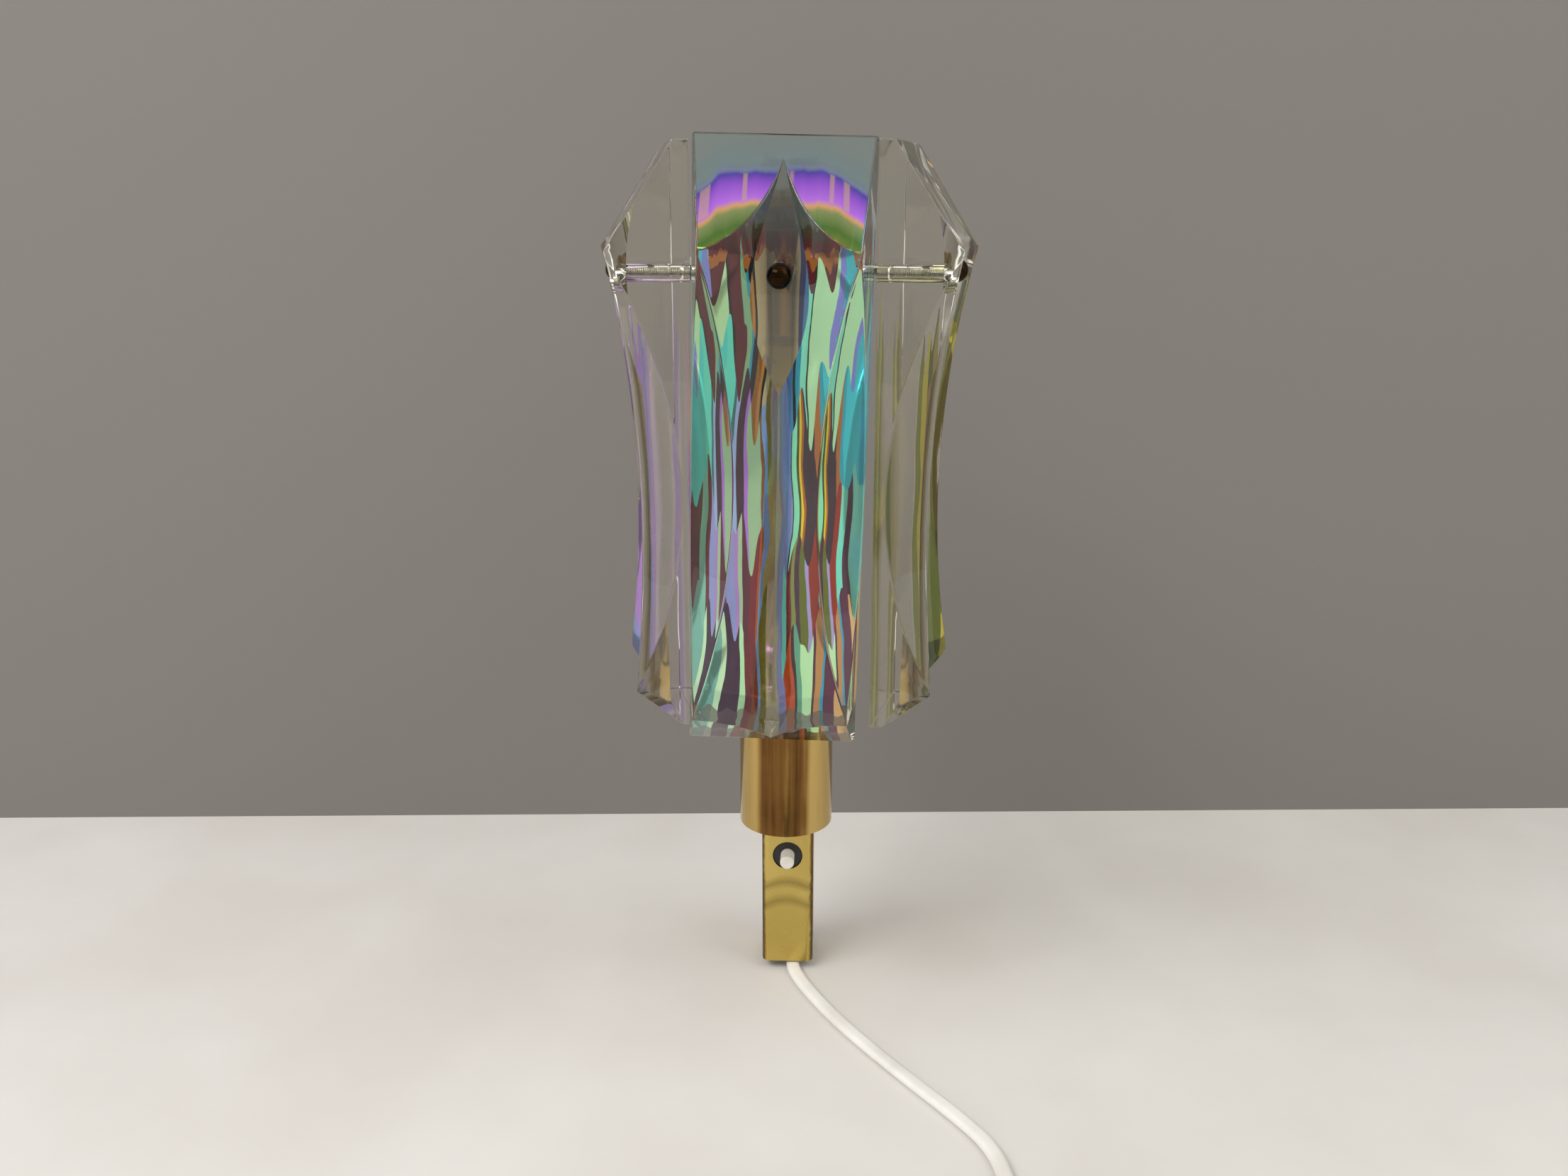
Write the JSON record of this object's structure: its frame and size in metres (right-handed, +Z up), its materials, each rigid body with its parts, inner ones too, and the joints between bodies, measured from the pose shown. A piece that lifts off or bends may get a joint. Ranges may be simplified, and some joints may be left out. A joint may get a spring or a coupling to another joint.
{
  "type": "crystal wall sconce",
  "caption": "Wall light whose pressed crystal panels hang on threaded rods round an open tube with a screw lampholder, on a channel bar with a push switch and a corded plug.",
  "frame": {"origin": "on the wall, in the middle between the two holes of the mounting strap", "axes": "+X to the right as seen from the front, +Y into the wall, +Z up along the bar"},
  "size_m": [0.1458, 0.2514, 0.3247],
  "materials": {
    "brass_bar": "satin lacquered sheet, worn at the edges",
    "brass_tube": "lacquered tube with brown tarnish",
    "brass_polished": "polished",
    "dark_brass": "dark, aged",
    "shell_brass": "plain",
    "zinc_steel": "zinc plated",
    "pin_metal": "nickel plated",
    "coated_crystal": "pressed, with a dichroic coating on the back",
    "clear_crystal": "pressed, polished",
    "holder_plastic": "black",
    "soft_bush": "black",
    "switch_plastic": "black",
    "button_plastic": "white",
    "block_plastic": "white",
    "wire_brown": "brown insulation",
    "wire_blue": "blue insulation",
    "cord_vinyl": "white, soft",
    "plug_plastic": "white"
  },
  "bodies": {
    "frame": {"ball_nut_front": "dark_brass", "ball_nut_left": "dark_brass", "ball_nut_right": "dark_brass", "clamp_screws": "zinc_steel", "cord_clamp": "zinc_steel", "cord_coil": "cord_vinyl", "cord_tail": "cord_vinyl", "crystal_rod_front": "zinc_steel", "crystal_rod_left": "zinc_steel", "crystal_rod_right": "zinc_steel", "front_washers": "zinc_steel", "lampholder_base": "holder_plastic", "lampholder_body": "holder_plastic", "lampholder_contact": "shell_brass", "lampholder_shell": "shell_brass", "mounting_strap": "zinc_steel", "nipple_nut": "zinc_steel", "plug_body": "plug_plastic", "plug_pins": "pin_metal", "power_cord": "cord_vinyl", "rear_nuts": "zinc_steel", "rear_plate": "zinc_steel", "rear_washers": "zinc_steel", "ring_nuts": "zinc_steel", "ring_rivets": "brass_polished", "strap_stud": "zinc_steel", "stud_cap_nut": "brass_polished", "stud_spacer": "zinc_steel", "switch_lid": "switch_plastic", "switch_shell": "switch_plastic", "switch_spring": "zinc_steel", "switch_terminals": "shell_brass", "terminal_block": "block_plastic", "terminal_screws": "zinc_steel", "threaded_nipple": "zinc_steel", "top_ring": "brass_tube", "tube_bottom_disc": "brass_tube", "tube_rivets": "brass_polished", "tube_sleeve": "brass_tube", "wall_bar": "brass_bar", "wire_grommet": "soft_bush", "wire_return": "wire_blue", "wire_supply": "wire_brown", "wire_switched": "wire_brown"},
    "crystal_front": {"crystal_front": "coated_crystal"},
    "crystal_left": {"crystal_left": "clear_crystal"},
    "crystal_right": {"crystal_right": "clear_crystal"},
    "button": {"switch_button": "button_plastic"}
  },
  "joints": [
    {"name": "crystal_front_turn", "type": "hinge", "parent": "frame", "child": "crystal_front", "pos_m": [0, -0.038, 0.0268], "axis": [0, -1, 0], "continuous": true},
    {"name": "crystal_left_swing", "type": "hinge", "parent": "frame", "child": "crystal_left", "pos_m": [0, -0.038, 0.0268], "axis": [-0.9816, -0.1908, 0], "range_deg": [-3.5, 2]},
    {"name": "crystal_right_swing", "type": "hinge", "parent": "frame", "child": "crystal_right", "pos_m": [0, -0.038, 0.0268], "axis": [0.9816, -0.1908, 0], "range_deg": [-2, 3.5]},
    {"name": "switch_press", "type": "slide", "parent": "frame", "child": "button", "axis": [0, 1, 0], "range_m": [0, 0.0025], "stiffness_N_per_m": 400, "springref_m": -0.002, "deforming": ["switch_spring"]}
  ]
}
